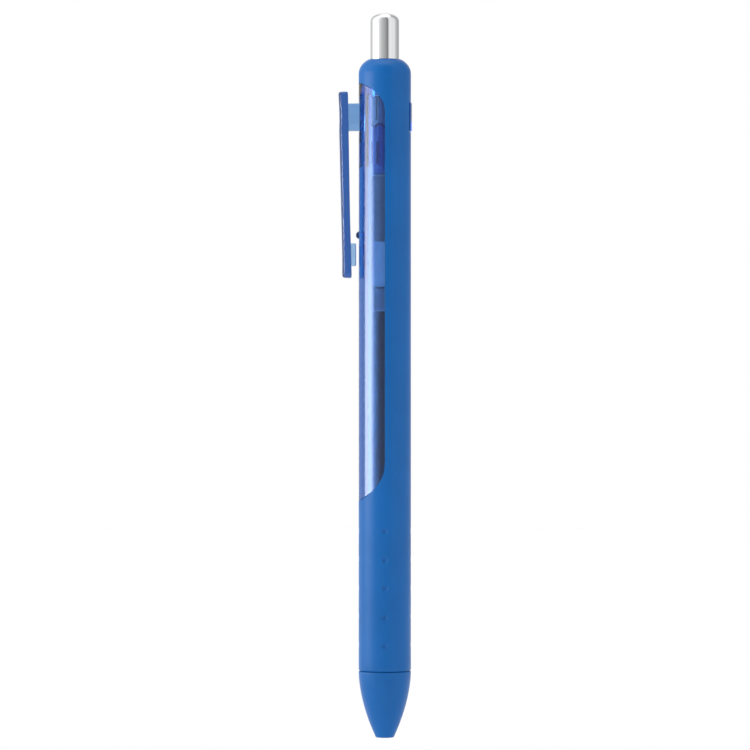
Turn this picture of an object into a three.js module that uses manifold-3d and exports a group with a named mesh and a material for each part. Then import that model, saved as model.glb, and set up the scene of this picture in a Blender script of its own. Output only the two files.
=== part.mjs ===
// A retractable ballpoint pen with a pocket clip, in millimetres, +Z up.
// The pen stands on its nose: z = 0 is the nose opening, the button is at the top, the clip is on -X,
// and the point is retracted.
import * as THREE from "three";
import { mergeVertices } from "three/addons/utils/BufferGeometryUtils.js";
import Module from "manifold-3d";

const wasm = await Module();
wasm.setup();

// ---- Driving dimensions ----

// Clearances.
const fitGap = 0.15; // beside a piece that sits or slides in another
const seatGap = 0.3; // between the ends of pieces that bear on each other
const slimGap = 0.06; // round what fills the refill tube

// Overall sizes.
const penLength = 144.8; // nose opening to button top, point retracted
const gripRadius = 5.23;
const gripWall = 0.63;
const barrelWall = 0.69;

// Nose cone: an ogive that ends in a flat rim round the point's hole.
const noseLength = 13.2;
const noseEndRadius = 1.79;
const nosePower = 1.8; // bulge of the ogive
const noseEdge = 0.28; // rounding of the rim
const noseHoleRadius = 1.2;
const noseHoleLength = 1.9;
const noseWall = 0.55;
const seamHeight = 0.8; // groove between nose cone and grip
const flangeHeight = 0.4; // barrel flange at the bottom of that groove
const flangeDepth = 0.18; // how far the flange lies below the grip's surface
const stubWall = 0.75;
const refillPassage = 0.35; // room round the refill inside the stub

// Return spring.
const springSeat = 3.2;
const springLength = 17.9;
const springRadius = 1.95; // to the middle of the wire
const wireRadius = 0.19;
const springTurns = 13;
const pocketClearance = 0.31;

// Refill.
const refillRadius = 2.8;
const refillWall = 0.45;
const pointInset = 1.4; // ball to nose opening, retracted
const ballRadius = 0.35;
const pointRadius = 1.05;
const pointRimRadius = 0.45;
const pointConeLength = 3.2;
const pointLength = 7.8;
const tailRadius = 0.8;
const tailLength = 4.6;
const inkDuctRadius = 0.25;
const neckRadius = 1.5;
const holderShoulder = 2.8;
const holderInsert = 3.2;
const inkLevel = 27.1; // below the top of the refill tube
const greaseLength = 4.9;
const plugLength = 13.2;
const plugVentRadius = 0.5;

// Button, plunger and cam.
const buttonRadius = 2.9;
const buttonWall = 0.6;
const buttonProud = 9.2; // above the grip's shoulder
const buttonInside = 7.7; // below the grip's shoulder
const buttonRoof = 1.5;
const buttonEdge = { out: 2.3, down: 1.7 }; // dome at the rim of the button's flat top
const plungerLength = 9.0; // stem inside the button
const plungerWall = 0.85;
const crownLength = 5.0;
const toothHeight = 0.8;
const toothCount = 8;
const toothWidth = 0.9;
const toothGap = 0.4;
const rotorStep = 0.35; // rotor radius below crown radius
const rotorLength = 9.2;
const spigotLength = 3.4;
const ribWidth = 1.4;
const ribDrop = 2.7; // rotor's rib below its teeth
const ribLength = 4.4;
const ribSlope = 0.7; // rise of a rib's slanted end
const ribClearance = 0.26; // rib to bore
const latchDepth = 5.0; // how far the point stays out
const landWidth = 2.2;

// Grip's shoulder round the button.
const shoulderWidth = 3.8;
const shoulderHeight = 3.26;
const ceilingDepth = 2.2; // grip's inner ceiling below its rim

// Window in the grip, over the half that faces -X, with half-elliptical ends.
const windowTop = 4.8; // below the grip's shoulder
const windowTopEnd = 5.8;
const windowBottom = 33.3; // above the bottom of the grip
const windowBottomEnd = 7.6;

// Dimples of the grip.
const dimpleColumns = 4;
const dimpleRows = 5;
const dimplePitch = 5.72;
const dimpleStart = 4.5; // first row above the bottom of the grip
const dimpleWidth = 1.0;
const dimpleDepth = 0.1;

// Clip: distances from the barrel's surface.
const clipDrop = 6.6; // clip top below the grip's shoulder
const clipLength = 37.2;
const clipWidth = 4.8;
const clipHead = { out: 4.05, inner: 2.12, round: 0.6, roundInner: 0.3 };
const clipWaist = { below: 7.6, out: 3.86, inner: 1.88 };
const clipFoot = { flat: 4.2, out: 3.26, inner: 1.37, round: 0.5 };
const postDrop = 2.3; // post below the clip's top
const postHeight = 5.5;
const postWidth = 2.4;
const rootDepth = 0.68; // root of the post below the barrel's surface
const rootPlay = 0.35; // room round the root, so that the clip can flex
const padRise = 2.4; // pad above the clip's foot
const padHeight = 4.6;
const padWidth = 3.0;
const padGap = 0.49; // pad to barrel
const padChamfer = 0.5;

// Barrel details.
const bumpRise = 8.6; // bump above the clip's foot
const bumpRadius = 0.78;
const bumpProud = 0.56;
const tabWidth = 3.2;
const tabHeight = 5.6;
const tabProud = 0.22;

const latheSegments = 40;
const arcSteps = 5;

// ---- Sizes and places that follow from them ----

const gripBottom = noseLength + seamHeight;
const shoulderTop = penLength - buttonProud;
const gripBore = gripRadius - gripWall;
const coreRadius = gripBore - fitGap;
const boreRadius = coreRadius - barrelWall;
const slideRadius = buttonRadius + fitGap;

const stubBore = refillRadius + refillPassage;
const socketRadius = stubBore + stubWall + fitGap;
const spareWall = Math.max(gripRadius - socketRadius - noseWall, 0);
const socketShare = (spareWall / (gripRadius - noseEndRadius)) ** (1 / nosePower);
const socketBottom = noseLength * (1 - socketShare);
const pocketRadius = springRadius + wireRadius + pocketClearance;
const flangeBottom = noseLength + (seamHeight - flangeHeight) / 2;
const flangeTop = flangeBottom + flangeHeight;

const buttonBottom = shoulderTop - buttonInside;
const buttonBore = buttonRadius - buttonWall;
const crownRadius = buttonRadius - fitGap;
const crownTop = buttonBottom - fitGap;
const crownBottom = buttonBottom - crownLength;
const plungerBore = buttonBore - fitGap - plungerWall;
const rotorRadius = crownRadius - rotorStep;
const rotorRoots = crownBottom - toothHeight - toothGap;
const rotorBottom = rotorRoots - rotorLength;
const ribRadius = boreRadius - ribClearance;
const ribTop = rotorRoots - ribDrop;
const landBottom = ribTop - latchDepth;
const collarBottom = buttonBottom + seatGap;
const ceiling = shoulderTop - ceilingDepth;
const barrelTop = ceiling - fitGap;

const refillTop = rotorBottom - seatGap;
const refillBore = refillRadius - refillWall;
const refillFill = refillBore - slimGap;
const springTop = springSeat + seatGap / 2 + springLength;
const shoulderZ = springTop + fitGap;
const tubeBottom = shoulderZ + holderShoulder + fitGap;
const pointRim = pointInset + ballRadius / 2;
const pointTop = pointRim + pointLength;
const holderBottom = pointTop + fitGap;
const holderTop = tubeBottom + holderInsert;
const inkTop = refillTop - inkLevel;

const clipTop = shoulderTop - clipDrop;
const clipFootZ = clipTop - clipLength;
const postTop = clipTop - postDrop;
const postBottom = postTop - postHeight;
const postMiddle = (postTop + postBottom) / 2;

// ---- Solids ----

// A closed three.js geometry as a solid that can be joined and cut.
function solidOf(geometry) {
  const bare = geometry.clone();
  bare.deleteAttribute("normal");
  bare.deleteAttribute("uv");
  const merged = mergeVertices(bare, 1e-4);
  return new wasm.Manifold(
    new wasm.Mesh({
      numProp: 3,
      vertProperties: new Float32Array(merged.attributes.position.array),
      triVerts: new Uint32Array(merged.index.array),
    }),
  );
}

function geometryOf(solid) {
  const mesh = solid.getMesh();
  const geometry = new THREE.BufferGeometry();
  geometry.setAttribute("position", new THREE.BufferAttribute(mesh.vertProperties, 3));
  geometry.setIndex(new THREE.BufferAttribute(mesh.triVerts, 1));
  geometry.computeVertexNormals();
  return geometry;
}

// A profile of [radius, z] points turned round the pen's axis.
function turned(profile) {
  const points = profile.map(([radius, z]) => new THREE.Vector2(radius, z));
  return new THREE.LatheGeometry(points, latheSegments).rotateX(Math.PI / 2);
}

// The same for a hollow piece: the profile closes on itself.
function turnedRing(profile) {
  return turned([...profile, profile[0]]);
}

// Points of an elliptical arc about [radius, z], without its first point.
function arc([r, z], [across, up], from, to) {
  return Array.from({ length: arcSteps }, (_, i) => {
    const angle = THREE.MathUtils.degToRad(from + ((to - from) * (i + 1)) / arcSteps);
    return [r + across * Math.cos(angle), z + up * Math.sin(angle)];
  });
}

// An outline of [sideways, z] points, as a prism that runs outwards between two radii at an angle.
function radialPrism(outline, inner, outer, angle) {
  const shape = new THREE.Shape(outline.map(([side, z]) => new THREE.Vector2(side, z)));
  const prism = new THREE.ExtrudeGeometry(shape, { depth: outer - inner, bevelEnabled: false });
  const outwards = new THREE.Matrix4().makeBasis(
    new THREE.Vector3(0, 1, 0),
    new THREE.Vector3(0, 0, 1),
    new THREE.Vector3(1, 0, 0),
  );
  prism.applyMatrix4(outwards);
  return prism.translate(inner, 0, 0).rotateZ(angle);
}

// A rectangular outline for radialPrism.
function rectangle(width, bottom, top) {
  return [
    [-width / 2, bottom],
    [width / 2, bottom],
    [width / 2, top],
    [-width / 2, top],
  ];
}

function radiansOf(count, i, phase = 0) {
  return (2 * Math.PI * (i + phase)) / count;
}

// Copies of a piece made for each angle, joined to a solid.
function addRound(solid, count, phase, make) {
  let joined = solid;
  for (let i = 0; i < count; i += 1) {
    joined = joined.add(solidOf(make(radiansOf(count, i, phase))));
  }
  return joined;
}

// ---- Nose cone, grip and barrel ----

function noseRadius(z) {
  return gripRadius - (gripRadius - noseEndRadius) * (1 - z / noseLength) ** nosePower;
}

function noseCone() {
  const rimRadius = noseRadius(noseEdge) - noseEdge;
  const outside = Array.from({ length: arcSteps * 2 }, (_, i) => {
    const z = noseEdge + ((noseLength - noseEdge) * (i + 1)) / (arcSteps * 2);
    return [noseRadius(z), z];
  });
  return turnedRing([
    [noseHoleRadius, 0],
    [rimRadius, 0],
    ...arc([rimRadius, noseEdge], [noseEdge, noseEdge], -90, 0),
    ...outside,
    [socketRadius, noseLength],
    [socketRadius, socketBottom],
    [pocketRadius, socketBottom],
    [pocketRadius, springSeat],
    [neckRadius + fitGap, springSeat],
    [neckRadius + fitGap, noseHoleLength + noseHoleRadius / 2],
    [noseHoleRadius, noseHoleLength],
  ]);
}

// The window's outline, seen along X. Along the barrel's surface each end is half an ellipse.
function windowOutline(margin) {
  const straightTop = shoulderTop - windowTop - windowTopEnd;
  const straightBottom = gripBottom + windowBottom + windowBottomEnd;
  const side = gripRadius + 1;
  const end = (z, height, from) =>
    Array.from({ length: arcSteps * 2 + 1 }, (_, i) => {
      const share = from * (1 - i / arcSteps);
      const rise = height * Math.sqrt(Math.max(1 - share * share, 0));
      return [gripRadius * Math.sin((share * Math.PI) / 2), z + rise];
    });
  return [
    [-side, straightBottom],
    ...end(straightBottom, -windowBottomEnd - margin, -1),
    [side, straightBottom],
    [side, straightTop],
    ...end(straightTop, windowTopEnd + margin, 1),
    [-side, straightTop],
  ];
}

function windowPrism(margin) {
  return solidOf(radialPrism(windowOutline(margin), -margin, gripRadius + 1, Math.PI));
}

function gripSleeve() {
  const slope = [gripRadius - shoulderWidth, ceiling - (shoulderHeight - ceilingDepth)];
  const atHole = THREE.MathUtils.radToDeg(Math.acos((slideRadius - slope[0]) / shoulderWidth));
  const rim = slope[1] + shoulderHeight * Math.sin(THREE.MathUtils.degToRad(atHole));
  const lift = shoulderTop - rim;
  let sleeve = solidOf(
    turnedRing([
      [gripBore, gripBottom],
      [gripRadius, gripBottom],
      [gripRadius, slope[1] + lift],
      ...arc([slope[0], slope[1] + lift], [shoulderWidth, shoulderHeight], 0, atHole),
      [slideRadius, ceiling],
      [gripBore, ceiling],
    ]),
  );
  sleeve = sleeve.subtract(windowPrism(fitGap));
  sleeve = sleeve.subtract(solidOf(tab(fitGap)));
  return geometryOf(sleeve.subtract(dimples()));
}

// Shallow round hollows in rows and columns, as the balls that leave them.
function dimples() {
  const ballSize = (dimpleWidth ** 2 / 4 + dimpleDepth ** 2) / (2 * dimpleDepth);
  const ball = new THREE.IcosahedronGeometry(ballSize, 2);
  const balls = [];
  for (let row = 0; row < dimpleRows; row += 1) {
    for (let column = 0; column < dimpleColumns; column += 1) {
      const z = gripBottom + dimpleStart + row * dimplePitch;
      const out = gripRadius + ballSize - dimpleDepth;
      balls.push(solidOf(ball.clone().translate(out, 0, z).rotateZ(radiansOf(dimpleColumns, column))));
    }
  }
  return balls.reduce((all, one) => all.add(one));
}

// The tab behind the clip, that shows through a slot in the grip. With a margin, it is the slot.
function tab(margin) {
  const outline = rectangle(
    tabWidth + 2 * margin,
    postMiddle - tabHeight / 2 - margin,
    postMiddle + tabHeight / 2 + margin,
  );
  return radialPrism(outline, coreRadius - fitGap, gripRadius + 1, 0);
}

function roundedTab() {
  const limit = turned([
    [0, postBottom - tabHeight],
    [gripRadius + tabProud, postBottom - tabHeight],
    [gripRadius + tabProud, postTop + tabHeight],
    [0, postTop + tabHeight],
  ]);
  return solidOf(tab(0)).intersect(solidOf(limit));
}

// The clear strip that fills the window, level with the grip.
function windowStrip() {
  const ring = turnedRing([
    [coreRadius - fitGap, gripBottom],
    [gripRadius, gripBottom],
    [gripRadius, barrelTop],
    [coreRadius - fitGap, barrelTop],
  ]);
  return solidOf(ring).intersect(windowPrism(-fitGap));
}

// A land of the cam guide, with a slanted lower end for the rotor's rib to climb.
function camLand(angle) {
  const outline = [
    [-landWidth / 2, landBottom],
    [landWidth / 2, landBottom + ribSlope],
    [landWidth / 2, collarBottom + fitGap],
    [-landWidth / 2, collarBottom + fitGap],
  ];
  return radialPrism(outline, slideRadius, boreRadius + fitGap, angle);
}

function barrel() {
  const stubRadius = socketRadius - fitGap;
  const flangeRadius = gripRadius - flangeDepth;
  const stubBottom = socketBottom + seatGap;
  const core = turnedRing([
    [stubBore, stubBottom],
    [stubRadius, stubBottom],
    [stubRadius, flangeBottom],
    [flangeRadius, flangeBottom],
    [flangeRadius, flangeTop],
    [coreRadius, flangeTop],
    [coreRadius, barrelTop],
    [slideRadius, barrelTop],
    [slideRadius, collarBottom],
    [boreRadius, collarBottom],
    [boreRadius, gripBottom + barrelWall + boreRadius - stubBore],
    [stubBore, gripBottom + barrelWall],
  ]);
  const bump = new THREE.SphereGeometry(bumpRadius, 16, 12);
  bump.translate(-(gripRadius + bumpProud - bumpRadius), 0, clipFootZ + bumpRise);
  const pocket = rectangle(postWidth + 2 * fitGap, postBottom - rootPlay, postTop + rootPlay);
  let body = solidOf(core).add(windowStrip());
  body = body.add(roundedTab());
  body = body.add(solidOf(bump));
  body = addRound(body, 4, 0, camLand);
  const pocketFloor = gripRadius - rootDepth - rootPlay;
  return geometryOf(body.subtract(solidOf(radialPrism(pocket, pocketFloor, gripRadius + 1, Math.PI))));
}

// ---- Clip ----

// Places along the clip, [distance from the barrel's surface, z], in the plane of the pen's axis.
function clipPoint(distance, z) {
  return [-(gripRadius + distance), z];
}

function clip() {
  const waist = clipTop - clipWaist.below;
  const footTop = clipFootZ + clipFoot.flat;
  const [headX] = clipPoint(clipHead.out - clipHead.round, 0);
  const [innerX] = clipPoint(clipHead.inner + clipHead.roundInner, 0);
  const [footX] = clipPoint(clipFoot.out - clipFoot.round, 0);
  const { round, roundInner } = clipHead;
  const outline = [
    clipPoint(clipFoot.inner, clipFootZ),
    clipPoint(clipWaist.inner, waist),
    clipPoint(clipHead.inner, clipTop - roundInner),
    ...arc([innerX, clipTop - roundInner], [roundInner, roundInner], 0, 90),
    [headX, clipTop],
    ...arc([headX, clipTop - round], [round, round], 90, 180),
    clipPoint(clipWaist.out, waist),
    clipPoint(clipFoot.out, footTop),
    clipPoint(clipFoot.out, clipFootZ + clipFoot.round),
    ...arc([footX, clipFootZ + clipFoot.round], [clipFoot.round, clipFoot.round], 180, 270),
  ];
  const arm = sidePlate(outline, clipWidth);
  const [rootX] = clipPoint(-rootDepth, 0);
  const [waistX] = clipPoint(clipWaist.inner + clipHead.roundInner, 0);
  const post = sidePlate(
    [
      [rootX, postBottom],
      [rootX, postTop],
      [waistX, postTop],
      [waistX, postBottom],
    ],
    postWidth,
  );
  return geometryOf(solidOf(arm).add(solidOf(post)).add(solidOf(clipPad())));
}

// The pad that presses on what the clip holds.
function clipPad() {
  const bottom = clipFootZ + padRise;
  const top = bottom + padHeight;
  const [face] = clipPoint(padGap, 0);
  const [back] = clipPoint(clipFoot.inner + clipHead.round, 0);
  return sidePlate(
    [
      [face, bottom + padChamfer],
      [face, top - padChamfer],
      [face - padChamfer, top],
      [back, top],
      [back, bottom],
      [face - padChamfer, bottom],
    ],
    padWidth,
  );
}

// An outline of [x, z] points as a plate of a width across Y.
function sidePlate(outline, width) {
  const shape = new THREE.Shape(outline.map(([x, z]) => new THREE.Vector2(x, z)));
  const plate = new THREE.ExtrudeGeometry(shape, { depth: width, bevelEnabled: false });
  return plate.rotateX(Math.PI / 2).translate(0, width / 2, 0);
}

// ---- Button, plunger and rotor ----

function pushButton() {
  const { out, down } = buttonEdge;
  const roof = penLength - buttonRoof;
  return turned([
    [0, roof],
    [buttonBore, roof],
    [buttonBore, buttonBottom],
    [buttonRadius, buttonBottom],
    [buttonRadius, penLength - down],
    ...arc([buttonRadius - out, penLength - down], [out, down], 0, 90),
    [0, penLength],
  ]);
}

// A ring of pointed teeth inside a radius. They stand on z, up or down. Half a phase puts
// them opposite another ring's gaps.
function toothRing(z, height, outer, phase = 0) {
  const inner = outer - toothWidth;
  const side = Math.tan(Math.PI / toothCount) * outer;
  const root = z - Math.sign(height) * fitGap;
  const outline = [
    [-side, z],
    [-side, root],
    [side, root],
    [side, z],
    [0, z + height],
  ];
  const ordered = height > 0 ? outline : [...outline].reverse();
  const low = Math.min(root, z + height);
  const high = Math.max(root, z + height);
  const ring = turnedRing([
    [inner, low],
    [outer, low],
    [outer, high],
    [inner, high],
  ]);
  const teeth = Array.from({ length: toothCount }, (_, i) =>
    solidOf(radialPrism(ordered, 0, outer * 2, radiansOf(toothCount, i, phase))),
  );
  return solidOf(ring).intersect(teeth.reduce((all, one) => all.add(one)));
}

function plunger() {
  const stemRadius = buttonBore - fitGap;
  const tube = turnedRing([
    [plungerBore, crownBottom],
    [crownRadius, crownBottom],
    [crownRadius, crownTop],
    [stemRadius, crownTop],
    [stemRadius, crownTop + plungerLength],
    [plungerBore, crownTop + plungerLength],
  ]);
  let body = solidOf(tube);
  body = body.add(toothRing(crownBottom, -toothHeight, crownRadius));
  const rib = rectangle(ribWidth, crownBottom + seatGap, crownTop);
  const make = (angle) => radialPrism(rib, crownRadius - fitGap * 2, ribRadius, angle);
  return geometryOf(addRound(body, 4, 0.5, make));
}

function camRotor() {
  const spigotRadius = plungerBore - fitGap;
  const core = turned([
    [0, rotorBottom],
    [rotorRadius, rotorBottom],
    [rotorRadius, rotorRoots],
    [spigotRadius, rotorRoots],
    [spigotRadius, rotorRoots + toothHeight + spigotLength],
    [0, rotorRoots + toothHeight + spigotLength],
  ]);
  let body = solidOf(core);
  body = body.add(toothRing(rotorRoots, toothHeight, rotorRadius, 0.5));
  const rib = [
    [-ribWidth / 2, ribTop - ribLength],
    [ribWidth / 2, ribTop - ribLength],
    [ribWidth / 2, ribTop],
    [-ribWidth / 2, ribTop - ribSlope],
  ];
  const make = (angle) => radialPrism(rib, rotorRadius - fitGap * 2, ribRadius, angle);
  return geometryOf(addRound(body, 4, 0.5, make));
}

// ---- Refill and spring ----

function refillTube() {
  return turnedRing([
    [refillBore, tubeBottom],
    [refillRadius, tubeBottom],
    [refillRadius, refillTop],
    [refillBore, refillTop],
  ]);
}

function endPlug() {
  return turnedRing([
    [plugVentRadius, refillTop - plugLength],
    [refillFill, refillTop - plugLength],
    [refillFill, refillTop],
    [plugVentRadius, refillTop],
  ]);
}

function filling(bottom, top) {
  return turned([
    [0, bottom],
    [refillFill, bottom],
    [refillFill, top],
    [0, top],
  ]);
}

function tipHolder() {
  const bore = tailRadius + slimGap;
  return turnedRing([
    [bore, holderBottom],
    [neckRadius, holderBottom],
    [neckRadius, shoulderZ],
    [refillRadius, shoulderZ],
    [refillRadius, tubeBottom - fitGap],
    [refillFill, tubeBottom - fitGap],
    [refillFill, holderTop],
    [bore, holderTop],
  ]);
}

// The metal point: a socket for the ball, a cone, a shank, and a tail in the tip holder.
function pointCone() {
  const socketTop = pointInset + 2 * ballRadius + slimGap;
  return turnedRing([
    [ballRadius + slimGap, pointRim],
    [pointRimRadius, pointRim],
    [pointRadius, pointRim + pointConeLength],
    [pointRadius, pointTop],
    [tailRadius, pointTop],
    [tailRadius, pointTop + tailLength],
    [inkDuctRadius, pointTop + tailLength],
    [inkDuctRadius, socketTop],
    [ballRadius + slimGap, socketTop],
  ]);
}

function ball() {
  return new THREE.SphereGeometry(ballRadius, 16, 12).translate(0, 0, pointInset + ballRadius);
}

// The spring's path: its end turns lie close, and the others share the rest of its length.
class SpringPath extends THREE.Curve {
  getPoint(t) {
    const turn = t * springTurns;
    const closePitch = wireRadius * 2.3;
    const openPitch = (springLength - 2 * (wireRadius + closePitch)) / (springTurns - 2);
    const openTurns = THREE.MathUtils.clamp(turn - 1, 0, springTurns - 2);
    const z = springSeat + seatGap / 2 + wireRadius;
    const rise = (turn - openTurns) * closePitch + openTurns * openPitch;
    const angle = 2 * Math.PI * turn;
    return new THREE.Vector3(springRadius * Math.cos(angle), springRadius * Math.sin(angle), z + rise);
  }
}

function returnSpring() {
  const stepsPerTurn = 12;
  const wireSides = 6;
  const path = new SpringPath();
  path.arcLengthDivisions = springTurns * stepsPerTurn * 4;
  const section = Array.from({ length: wireSides }, (_, i) => {
    const angle = radiansOf(wireSides, i);
    return new THREE.Vector2(wireRadius * Math.cos(angle), wireRadius * Math.sin(angle));
  });
  return new THREE.ExtrudeGeometry(new THREE.Shape(section), {
    steps: springTurns * stepsPerTurn,
    extrudePath: path,
  });
}

// ---- The assembly ----

const finishes = {
  chrome: { color: 0xe4e4e6, roughness: 0.08, metalness: 1 },
  softBlue: { color: 0x1f62b0, roughness: 0.55, metalness: 0 },
  clearBlue: { color: 0x3f74c8, roughness: 0.05, metalness: 0, transparent: true, opacity: 0.45 },
  clipBlue: { color: 0x2f5fb5, roughness: 0.15, metalness: 0, transparent: true, opacity: 0.8 },
  camBlue: { color: 0x1e55a8, roughness: 0.35, metalness: 0 },
  camWhite: { color: 0xe9ecf2, roughness: 0.35, metalness: 0 },
  clearTube: { color: 0xdfe6f2, roughness: 0.1, metalness: 0, transparent: true, opacity: 0.4 },
  milkyPlug: { color: 0xcfd8ea, roughness: 0.4, metalness: 0 },
  grease: { color: 0xb9c3d6, roughness: 0.2, metalness: 0, transparent: true, opacity: 0.6 },
  ink: { color: 0x14264a, roughness: 0.2, metalness: 0 },
  holderWhite: { color: 0xe6e8ea, roughness: 0.4, metalness: 0 },
  nickel: { color: 0xc9c6bf, roughness: 0.25, metalness: 1 },
  carbide: { color: 0x8d8f94, roughness: 0.15, metalness: 1 },
  springSteel: { color: 0xb5b8bd, roughness: 0.3, metalness: 1 },
};

function piece(name, geometry, finish) {
  const mesh = new THREE.Mesh(geometry, new THREE.MeshStandardMaterial(finishes[finish]));
  mesh.name = name;
  return mesh;
}

function refill() {
  const group = new THREE.Group();
  group.add(
    piece("refill_tube", refillTube(), "clearTube"),
    piece("refill_end_plug", endPlug(), "milkyPlug"),
    piece("grease_follower", filling(inkTop + seatGap, inkTop + greaseLength), "grease"),
    piece("ink_column", filling(holderTop + seatGap, inkTop), "ink"),
    piece("tip_holder", tipHolder(), "holderWhite"),
    piece("point_cone", pointCone(), "nickel"),
    piece("writing_ball", ball(), "carbide"),
  );
  return group;
}

const group = new THREE.Group();
group.add(
  piece("barrel", barrel(), "clearBlue"),
  piece("grip_sleeve", gripSleeve(), "softBlue"),
  piece("nose_cone", noseCone(), "softBlue"),
  piece("pocket_clip", clip(), "clipBlue"),
  piece("push_button", pushButton(), "chrome"),
  piece("plunger", plunger(), "camWhite"),
  piece("cam_rotor", camRotor(), "camBlue"),
  piece("return_spring", returnSpring(), "springSteel"),
  refill(),
);

export default group;
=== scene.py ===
"""A retractable ballpoint pen: its finished pieces, materials and stage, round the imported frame."""

import math

import bmesh
import bpy
from bpy.props import FloatProperty, FloatVectorProperty, IntProperty, PointerProperty
from mathutils import Matrix, Vector
from numpy import interp


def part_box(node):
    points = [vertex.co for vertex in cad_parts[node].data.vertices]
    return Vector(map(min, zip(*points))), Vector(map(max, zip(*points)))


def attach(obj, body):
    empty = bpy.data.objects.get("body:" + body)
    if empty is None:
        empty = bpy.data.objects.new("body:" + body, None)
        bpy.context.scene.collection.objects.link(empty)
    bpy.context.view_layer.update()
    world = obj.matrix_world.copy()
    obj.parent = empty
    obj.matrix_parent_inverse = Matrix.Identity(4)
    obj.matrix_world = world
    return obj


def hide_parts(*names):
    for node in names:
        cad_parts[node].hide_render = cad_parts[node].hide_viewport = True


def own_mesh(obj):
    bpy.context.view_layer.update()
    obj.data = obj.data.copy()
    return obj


bl_info = {
    "name": "Retractable ballpoint pen",
    "version": (1, 0, 0),
    "blender": (4, 5, 0),
    "location": "3D View > Sidebar > Pen",
    "description": "Builds a click-action ballpoint pen with a soft grip and a clear barrel",
    "category": "Add Mesh",
}

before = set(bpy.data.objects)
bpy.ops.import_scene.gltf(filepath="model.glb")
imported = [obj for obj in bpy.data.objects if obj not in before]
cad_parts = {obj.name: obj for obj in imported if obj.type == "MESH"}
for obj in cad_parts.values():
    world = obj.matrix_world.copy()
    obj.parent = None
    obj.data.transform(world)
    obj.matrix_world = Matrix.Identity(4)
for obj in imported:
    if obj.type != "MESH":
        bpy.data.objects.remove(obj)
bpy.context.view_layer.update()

MM = 0.001
SHARP = math.radians(35)
BEVEL_FROM = math.radians(50)

# How fast the two clear plastics deepen with thickness, per metre.
BARREL_DENSITY = 870.0
CLIP_DENSITY = 980.0

# The clip lies on -X. Angles round the pen are in degrees, counted from there.
WINDOW_HALF = 90
DIMPLE_ANGLES = (-180, -90, 0, 90, 180)
DIMPLE_ROWS = 5
TEETH = 8
TOOTH_HEIGHT = 0.8 * MM
RIB_WIDTH = 1.4 * MM


def linear(hex_colour):
    """An sRGB hex colour as linear RGBA."""
    parts = [int(hex_colour[i : i + 2], 16) / 255 for i in (1, 3, 5)]
    return [p / 12.92 if p <= 0.04045 else ((p + 0.055) / 1.055) ** 2.4 for p in parts] + [1.0]


def length(name, description, millimetres):
    """A length property."""
    return FloatProperty(
        name=name, description=description, default=millimetres * MM, min=0, unit="LENGTH", precision=5
    )


def colour(name, description, hex_colour):
    """A colour property."""
    shade = linear(hex_colour)
    return FloatVectorProperty(
        name=name, description=description, default=shade, size=4, min=0, max=1, subtype="COLOR"
    )


class PenSizes(bpy.types.PropertyGroup):
    """Sizes of the finished pieces that the frame doesn't fix."""

    grip_wall: length("Grip wall", "Thickness of the soft sleeve", 0.66)
    grip_edge: length("Grip edge", "Rounding of the sleeve's cut edges", 0.1)
    dimple_width: length("Dimple width", "Width of a dimple in the grip", 1.3)
    dimple_depth: length("Dimple depth", "Depth of a dimple in the grip", 0.32)
    dimple_pitch: length("Dimple pitch", "From one row of dimples to the next", 5.72)
    window_gap: length("Window gap", "Gap between the clear strip and the sleeve", 0.1)
    barrel_wall: length("Barrel wall", "Thickness of the barrel under the sleeve", 0.69)
    clip_width: length("Clip width", "Width of the clip's arm", 4.8)
    clip_bevel: length("Clip bevel", "Depth of the bevel along the clip's front", 0.45)
    clip_round: length("Clip rounding", "Rounding along the clip's outer edges", 0.35)
    wire: length("Spring wire", "Thickness of the spring's wire", 0.38)
    spring_turns: IntProperty(name="Spring turns", description="Turns of the spring", default=13, min=4)
    ring_steps: IntProperty(
        name="Ring steps", description="Steps round a turned piece", default=160, min=24
    )


class PenColours(bpy.types.PropertyGroup):
    """Colours of the finished pieces."""

    grip: colour("Grip", "Soft sleeve and nose cone", "#0062AE")
    barrel: colour("Barrel", "What the barrel's plastic lets through", "#2AB8EE")
    clip: colour("Clip", "What the clip's plastic lets through", "#7CBFE7")
    chrome: colour("Chrome", "Plating of the button", "#E7E8E9")
    plunger: colour("Plunger", "White plunger", "#FAFBFE")
    rotor: colour("Rotor", "Cam rotor", "#3CA4F6")
    plug: colour("Plug", "Plug of the refill", "#F0F4FC")
    ink: colour("Ink", "Ink", "#223F70")
    floor: colour("Floor", "Floor of the studio", "#FAFAFA")


# ---- Outlines and meshes ----


def arc(centre, radius, start, end, steps=6):
    """Points on an arc or elliptical arc, between two angles in degrees."""
    across, up = radius if isinstance(radius, tuple) else (radius, radius)
    angles = [math.radians(start + (end - start) * i / steps) for i in range(steps + 1)]
    return [(centre[0] + across * math.cos(a), centre[1] + up * math.sin(a)) for a in angles]


def fillet(corners, closed=True, steps=4):
    """An outline with rounded corners. A corner is (r, z), or (r, z, rounding)."""
    points = []
    for i, corner in enumerate(corners):
        here = Vector(corner[:2])
        at_end = not closed and i in (0, len(corners) - 1)
        if len(corner) < 3 or at_end:
            points.append(tuple(here))
            continue
        back = Vector(corners[i - 1][:2]) - here
        ahead = Vector(corners[(i + 1) % len(corners)][:2]) - here
        half = back.angle(ahead) / 2
        cut = corner[2] / math.tan(half)
        start, end = here + back.normalized() * cut, here + ahead.normalized() * cut
        for k in range(steps + 1):
            share = k / steps
            first, second = start.lerp(here, share), here.lerp(end, share)
            points.append(tuple(first.lerp(second, share)))
    return points


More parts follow.
